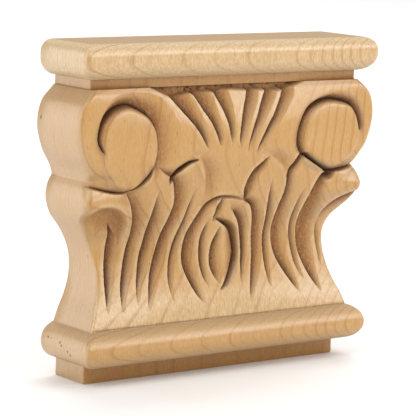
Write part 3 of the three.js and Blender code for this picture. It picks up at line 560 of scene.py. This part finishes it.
def plain_step(k, start, count):
    """The points of a level along step k of a plain one: two, or a run of them where it is carved."""
    finer = count - plain_count
    if k < corner_count:
        return [start + k, start + k + 1]
    if k < corner_count + FRONT_STEPS:
        run = CARVED_STEPS // FRONT_STEPS if finer else 1
        first = start + corner_count + (k - corner_count) * run
        return list(range(first, first + run + 1))
    return [start + k + finer, start + (k + 1 + finer) % count]


faces = []
for i, start in enumerate(starts[:-2]):
    upper_start, count, upper_count = starts[i + 1], len(levels[i]), len(levels[i + 1])
    if count == upper_count and count > plain_count:
        faces += carved_band(start, upper_start, count)
    else:
        for k in range(plain_count):
            upper = plain_step(k, upper_start, upper_count)
            faces.append(plain_step(k, start, count) + upper[::-1])
underside, top = list(range(starts[1])), list(range(starts[-2], starts[-1]))
faces += [underside[::-1], top]

SHARP_EDGE = 60
capital_mesh = bpy.data.meshes.new("capital_carved")
capital_mesh.from_pydata((points * MM).tolist(), [], faces)
capital_mesh.polygons.foreach_set("use_smooth", [True] * len(capital_mesh.polygons))
capital_mesh.set_sharp_from_angle(angle=radians(SHARP_EDGE))

# The marks of the tools and the painted light
# How strongly the gouge, the stop cuts, wear and sandpaper have marked the wood at each place, from 0 to
# 1, for its colour, with painted shade in hollows, creases, sunk ground and fillets, a painted highlight on
# arrises and a painted sheen on sanded faces. The fillets get a little painted shade, and the abacus is
# sanded and given painted sheen most.
FILLET_SHADE = 0.3
GROUND_TOOLING_AND_SHADE = 0.6
BEAD_SANDING_AND_SHEEN = 0.1
SANDING_AND_SHEEN_BELOW, NO_SANDING_OR_SHEEN_ABOVE = 22, 36

marks = {
    "tooling_and_shade": np.maximum(tooling_and_shade, GROUND_TOOLING_AND_SHADE * sunk),
    "crease_shade": crease_shade,
    "arris_wear_and_highlight": arris_wear_and_highlight,
    "sanding_and_sheen": ease(NO_SANDING_OR_SHEEN_ABOVE, SANDING_AND_SHEEN_BELOW, bell_z),
}
head_start = len(foot_levels) + len(bell_levels)
fillets = [0, 1, 2, head_start, head_start + 1, head_start + 2]
for name, rows in marks.items():
    value = np.zeros(len(points), np.float32)
    for i, start in enumerate(starts[:-1]):
        end = starts[i + 1]
        back_start, back_end = end - SIDE_STEPS - BACK_STEPS - 1, end - SIDE_STEPS
        if len(foot_levels) <= i < head_start:
            value[start + 1:start + bell_x.shape[1] - 1] = rows[i - len(foot_levels), 1:-1]
        # The fillets under the bead and under the abacus get painted shade
        elif name == "tooling_and_shade" and i in fillets:
            value[start:back_start - SIDE_STEPS] = FILLET_SHADE
        # The abacus and a little of the bead are paler from sanding and from painted sheen
        elif name == "sanding_and_sheen" and i not in fillets and i < len(levels) - 1:
            value[start:end] = BEAD_SANDING_AND_SHEEN if i < len(foot_levels) else 1
            value[back_start:back_end] = 0
    capital_mesh.attributes.new(name, "FLOAT", "POINT").data.foreach_set("value", value)

# The maple
# Hard maple, planed and sanded and left in a thin clear satin finish: pale tan, close grain, fine growth
# lines about 1.7 mm apart and small flecks. Cut hollows are left from the gouge, duller, and darker with
# torn fibre and painted shade.
RING_SPACING = 1.7
PITH = (-150, 480, 0)
RING_WAVE = (4, 4, 0)
RING_LEAN = 0.03
EARLY_WOOD = "#ca984a"
DARK_BLOTCH = "#ba8636"
LATE_WOOD = "#a06014"
# Pale nap of sanding, also used as painted sheen and painted highlight
PALE_NAP_AND_SHEEN = "#e4d2ac"
# Side faces: the radial face of the wood, paler also with painted sheen
SIDE_WOOD_AND_SHEEN = "#c8aa86"
END_GRAIN = "#96856c"
FLECK = "#7f4d20"
# Darker colour of the gouged hollows, partly torn fibre and partly painted shade
GOUGED_AND_SHADED = "#884a00"
LIFTED_FIBRE = "#dcb478"
# Painted shade in stop cuts and creases, also the colour of real knocks
SHADE_AND_KNOCK = "#341b04"


def linear(hex_colour):
    """An sRGB hex colour as linear red, green, blue and alpha."""
    values = [int(hex_colour[i:i + 2], 16) / 255 for i in (1, 3, 5)]
    return [v / 12.92 if v <= 0.04045 else ((v + 0.055) / 1.055) ** 2.4 for v in values] + [1]


maple = bpy.data.materials.new("hard_maple")
maple.use_nodes = True
maple.node_tree.nodes.clear()


def add(kind, inputs, output=0, **settings):
    """A node with its settings, its inputs set to a value or linked; gives back one of its outputs."""
    node = maple.node_tree.nodes.new("ShaderNode" + kind)
    for name, value in settings.items():
        setattr(node, name, value)
    for name, value in inputs.items():
        if isinstance(value, bpy.types.NodeSocket):
            maple.node_tree.links.new(value, node.inputs[name])
        else:
            node.inputs[name].default_value = value
    return node.outputs[output] if node.outputs else None


place = add("VectorMath", {0: add("TexCoord", {}, "Object"), "Scale": 1 / MM}, operation="SCALE")


def grain_pattern(grain_across, grain_along, detail, output="Fac"):
    """Noise with cells of that size in millimetres across and along the grain, which runs upright."""
    cells = (1 / grain_across, 1 / grain_across, 1 / grain_along)
    at = add("VectorMath", {0: place, 1: cells}, operation="MULTIPLY")
    return add("TexNoise", {"Vector": at, "Scale": 1, "Detail": detail, "Roughness": 0.55}, output)


def stained(wood, colour, strength, where):
    """The wood with a colour laid over it, as strongly as given where the pattern is 1."""
    cover = add("Math", {0: where, 1: strength}, operation="MULTIPLY")
    return add("Mix", {0: cover, 6: wood, 7: linear(colour)}, 2, data_type="RGBA")


def facing(axis):
    """How squarely the surface looks along an axis, either way."""
    normal = add("TexCoord", {}, "Normal")
    along_axis = add("VectorMath", {0: normal, 1: axis}, "Value", operation="DOT_PRODUCT")
    return add("Math", {0: along_axis, 1: along_axis}, operation="MULTIPLY")


# Growth rings round a pith far behind, a little wavy along the grain, some years darker than others.
# Each line of late wood darkens slowly and ends sharply, and shows less on the sides.
wave = add("VectorMath", {0: grain_pattern(30, 90, 2, "Color"), 1: (0.5, 0.5, 0.5)}, operation="SUBTRACT")
wavy = add("VectorMath", {0: wave, 1: RING_WAVE, 2: place}, operation="MULTIPLY_ADD")
from_pith = add("VectorMath", {0: wavy, 1: PITH}, operation="SUBTRACT")
from_pith = add("VectorMath", {0: from_pith, 1: (1, 1, RING_LEAN)}, operation="MULTIPLY")
from_pith = add("VectorMath", {0: from_pith}, "Value", operation="LENGTH")
year = add("Math", {0: from_pith, 1: RING_SPACING}, operation="DIVIDE")
season = add("Math", {0: year}, operation="FRACT")
darkening = add("MapRange", {"Value": season, "From Min": 0.6, "From Max": 0.92},
                interpolation_type="SMOOTHSTEP")
ending = add("MapRange", {"Value": season, "From Min": 0.93, "From Max": 1, "To Min": 1, "To Max": 0})
late = add("Math", {0: darkening, 1: ending}, operation="MULTIPLY")
whole_year = add("Math", {0: year}, operation="FLOOR")
dark_year = add("TexWhiteNoise", {"W": whole_year}, noise_dimensions="1D")
late = add("Math", {0: late, 1: dark_year}, operation="MULTIPLY")
on_side = facing((1, 0, 0))
off_side = add("MapRange", {"Value": on_side, "To Min": 1, "To Max": 0.5})
late = add("Math", {0: late, 1: off_side}, operation="MULTIPLY")

# Fibres, flecks and the nap that sanding leaves, along the grain. All are drawn a little coarser than the
# real ones so that they show.
fibre = grain_pattern(0.5, 9, 3)
fleck = add("MapRange", {"Value": grain_pattern(0.55, 2.4, 1), "From Min": 0.66, "From Max": 0.8})
nap = add("MapRange", {"Value": grain_pattern(0.5, 2.2, 3), "From Min": 0.4, "From Max": 0.66})

# Torn and lifted fibre in the hollows of the gouge, also drawn coarser
tooled_and_shaded = add("Attribute", {}, "Fac", attribute_name="tooling_and_shade")
untooled_unshaded = add("Math", {0: 1, 1: tooled_and_shaded}, operation="SUBTRACT")
torn_fibre = add("MapRange", {"Value": grain_pattern(0.5, 1.0, 3), "From Min": 0.42, "From Max": 0.6})
torn_fibre = add("Math", {0: tooled_and_shaded, 1: torn_fibre}, operation="MULTIPLY")
lifted_fibre = add("MapRange", {"Value": grain_pattern(0.45, 0.9, 2), "From Min": 0.54, "From Max": 0.7})
lifted_fibre = add("Math", {0: tooled_and_shaded, 1: lifted_fibre}, operation="MULTIPLY")

# Knocks and torn specks in the left end of the bead and in the left volute, each a dark spot given by its
# middle and its half size
KNOCKS = [
    ((-59.2, BACK - 4.6, 14.4), (2, 0.8, 0.5)), ((-59.2, BACK - 6.8, 14.4), (2, 0.5, 0.3)),
    ((-59.3, BACK - 12.0, 13.9), (2, 0.7, 0.6)), ((-59.3, BACK - 13.1, 13.0), (2, 0.6, 0.6)),
    ((-59.1, BACK - 16.8, 11.6), (2, 0.6, 0.6)), ((-59.0, BACK - 18.2, 10.6), (2, 0.7, 0.6)),
    ((-62.0, BACK - 2.6, 88.4), (2, 0.7, 0.9)),
]
knocked = 0
for middle, half_size in KNOCKS:
    away = add("VectorMath", {0: place, 1: middle}, operation="SUBTRACT")
    away = add("VectorMath", {0: away, 1: half_size}, operation="DIVIDE")
    away = add("VectorMath", {0: away}, "Value", operation="LENGTH")
    knock = add("MapRange", {"Value": away, "From Min": 1, "From Max": 0.4})
    knocked = add("Math", {0: knocked, 1: knock}, operation="MAXIMUM")

# The colour, from the plain wood up to the marks of the tools and the painted sheen, highlight and shade:
# each coat of colour lies over the last, with how strongly it covers and where
early = add("Mix", {0: grain_pattern(16, 34, 2), 6: linear(EARLY_WOOD), 7: linear(DARK_BLOTCH)}, 2,
            data_type="RGBA")
end_grain = facing((0, 0, 1))
side_and_sheen_mask = add("Math", {0: on_side, 1: untooled_unshaded}, operation="MULTIPLY")
# Sanding nap and painted sheen, most on the abacus and the foot of the bell
sanding_and_sheen = add("Attribute", {}, "Fac", attribute_name="sanding_and_sheen")
sanding_and_sheen = add("MapRange", {"Value": sanding_and_sheen, "To Min": 0.16, "To Max": 0.6})
sanded_and_sheen = add("MapRange", {"Value": nap, "To Min": 0.45})
sanded_and_sheen = add("Math", {0: sanded_and_sheen, 1: sanding_and_sheen}, operation="MULTIPLY")
sanded_and_sheen = add("Math", {0: sanded_and_sheen, 1: untooled_unshaded}, operation="MULTIPLY")
arris_wear_and_highlight_mask = add("Attribute", {}, "Fac", attribute_name="arris_wear_and_highlight")
crease_shade_mask = add("Attribute", {}, "Fac", attribute_name="crease_shade")
# Both ends paler: partly the radial face of the wood, partly painted sheen
wood = stained(early, SIDE_WOOD_AND_SHEEN, 0.8, side_and_sheen_mask)
wood = stained(wood, END_GRAIN, 0.8, end_grain)
wood = stained(wood, LATE_WOOD, 0.25, fibre)
# Pale sanded nap with painted sheen
wood = stained(wood, PALE_NAP_AND_SHEEN, 1, sanded_and_sheen)
# Arrises paler from wear and from a painted highlight
wood = stained(wood, PALE_NAP_AND_SHEEN, 0.27, arris_wear_and_highlight_mask)
wood = stained(wood, LATE_WOOD, 0.46, late)
wood = stained(wood, FLECK, 0.5, fleck)
# Painted shade in the gouged hollows, the sunk ground and the fillets, with the real torn fibre
wood = stained(wood, GOUGED_AND_SHADED, 0.71, tooled_and_shaded)
wood = stained(wood, GOUGED_AND_SHADED, 0.75, torn_fibre)
wood = stained(wood, LIFTED_FIBRE, 0.4, lifted_fibre)
# Painted shade in the stop cuts, the punch pits and under the neck; the knocks below are real
wood = stained(wood, SHADE_AND_KNOCK, 0.8, crease_shade_mask)
wood = stained(wood, SHADE_AND_KNOCK, 0.8, knocked)

# The surface: fibre and nap stand up by hundredths of a millimetre, torn fibre lies a little deeper, and
# the satin goes dull where the gouge has cut and on the sawn top
height = add("Math", {0: torn_fibre, 1: -0.06}, operation="MULTIPLY")
height = add("Math", {0: nap, 1: 0.03, 2: height}, operation="MULTIPLY_ADD")
height = add("Math", {0: fibre, 1: 0.03, 2: height}, operation="MULTIPLY_ADD")
bump = add("Bump", {"Height": height, "Distance": 1 * MM, "Strength": 1}, "Normal")
satin = add("MapRange", {"Value": tooled_and_shaded, "To Min": 0.33, "To Max": 0.75})
sawn = add("Math", {0: end_grain, 1: 0.95}, operation="MULTIPLY")
roughness = add("Math", {0: satin, 1: sawn}, operation="MAXIMUM")
finish = add("BsdfPrincipled", {"Base Color": wood, "Roughness": roughness, "Normal": bump,
                                "Specular IOR Level": 0.8})
add("OutputMaterial", {"Surface": finish})

capital_mesh.materials.append(maple)
capital = bpy.data.objects.new("capital_carved", capital_mesh)
bpy.context.scene.collection.objects.link(capital)
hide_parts("capital")
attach(capital, "root")

# The floor
# A plain table painted matt, nearly white, so that it takes a soft shadow and gives back no gloss.
FLOOR_REACH = 3
FLOOR_PAINT = "#f8f8f8"
floor_mesh = bpy.data.meshes.new("floor")
floor_corners = [(x * FLOOR_REACH, y * FLOOR_REACH, 0) for x, y in ((-1, -1), (1, -1), (1, 1), (-1, 1))]
floor_mesh.from_pydata(floor_corners, [], [(0, 1, 2, 3)])
floor_paint = bpy.data.materials.new("matt_paint")
floor_paint.use_nodes = True
floor_paint.node_tree.nodes["Principled BSDF"].inputs["Base Color"].default_value = linear(FLOOR_PAINT)
floor_paint.node_tree.nodes["Principled BSDF"].inputs["Roughness"].default_value = 0.8
floor_mesh.materials.append(floor_paint)
floor = bpy.data.objects.new("floor", floor_mesh)
bpy.context.scene.collection.objects.link(floor)

# The light
# A dim white room with soft square lights round the piece: the key in front on the right, two high ones
# in front, others at both ends, behind and above, and one on the table far behind.
ROOM_LIGHT = "#fff7ee"
room = bpy.data.worlds.new("room")
room.use_nodes = True
room.node_tree.nodes["Background"].inputs["Color"].default_value = linear(ROOM_LIGHT)
room.node_tree.nodes["Background"].inputs["Strength"].default_value = 0.20
bpy.context.scene.world = room

# Each light's place, what it shines on, its width in metres and its watts
PIECE = (0, 0, 0.05)
LIGHTS = {
    "key": ((0.65, -0.81, 0.42), PIECE, 0.35, 3.4),
    "high_right": ((0.5, -0.65, 0.75), PIECE, 0.6, 2.9),
    "high_left": ((-0.55, -0.35, 0.75), PIECE, 0.5, 3.6),
    "left": ((-1.1, 0.0, 0.25), PIECE, 0.6, 3.4),
    "back_left": ((-0.7, 0.9, 0.2), PIECE, 0.8, 3.4),
    "right_end": ((1.1, -0.1, 0.3), PIECE, 0.5, 1.3),
    "top": ((0.0, 0.0, 1.0), PIECE, 0.6, 1.6),
    "backdrop": ((1.0, 1.2, 1.3), (1.0, 1.2, 0), 2.0, 30.0),
}
for name, (at, toward, size, watts) in LIGHTS.items():
    lamp = bpy.data.lights.new(name, "AREA")
    lamp.size = size
    lamp.energy = watts
    light = bpy.data.objects.new(name, lamp)
    light.location = at
    light.rotation_euler = (Vector(toward) - light.location).to_track_quat("-Z", "Y").to_euler()
    bpy.context.scene.collection.objects.link(light)
bpy.context.scene.view_settings.view_transform = "Standard"

# The camera
# A long lens about 0.8 m away, to the left of the front and a little above, held 1.7 degrees off level.
CAMERA_PLACE = (-469.28, -630.69, 175.08)
CAMERA_LOOK = (0.5891, 0.7939, -0.1504)
CAMERA_TILT = 1.72
LENS = 200.18
camera_data = bpy.data.cameras.new("camera")
camera_data.lens = LENS
camera_data.sensor_width = 36
camera_data.clip_end = 20
camera = bpy.data.objects.new("camera", camera_data)
camera.location = Vector(CAMERA_PLACE) * MM
look = Vector(CAMERA_LOOK).to_track_quat("-Z", "Y").to_matrix()
camera.rotation_euler = (look @ Matrix.Rotation(radians(CAMERA_TILT), 3, "Z")).to_euler()
bpy.context.scene.collection.objects.link(camera)
bpy.context.scene.camera = camera
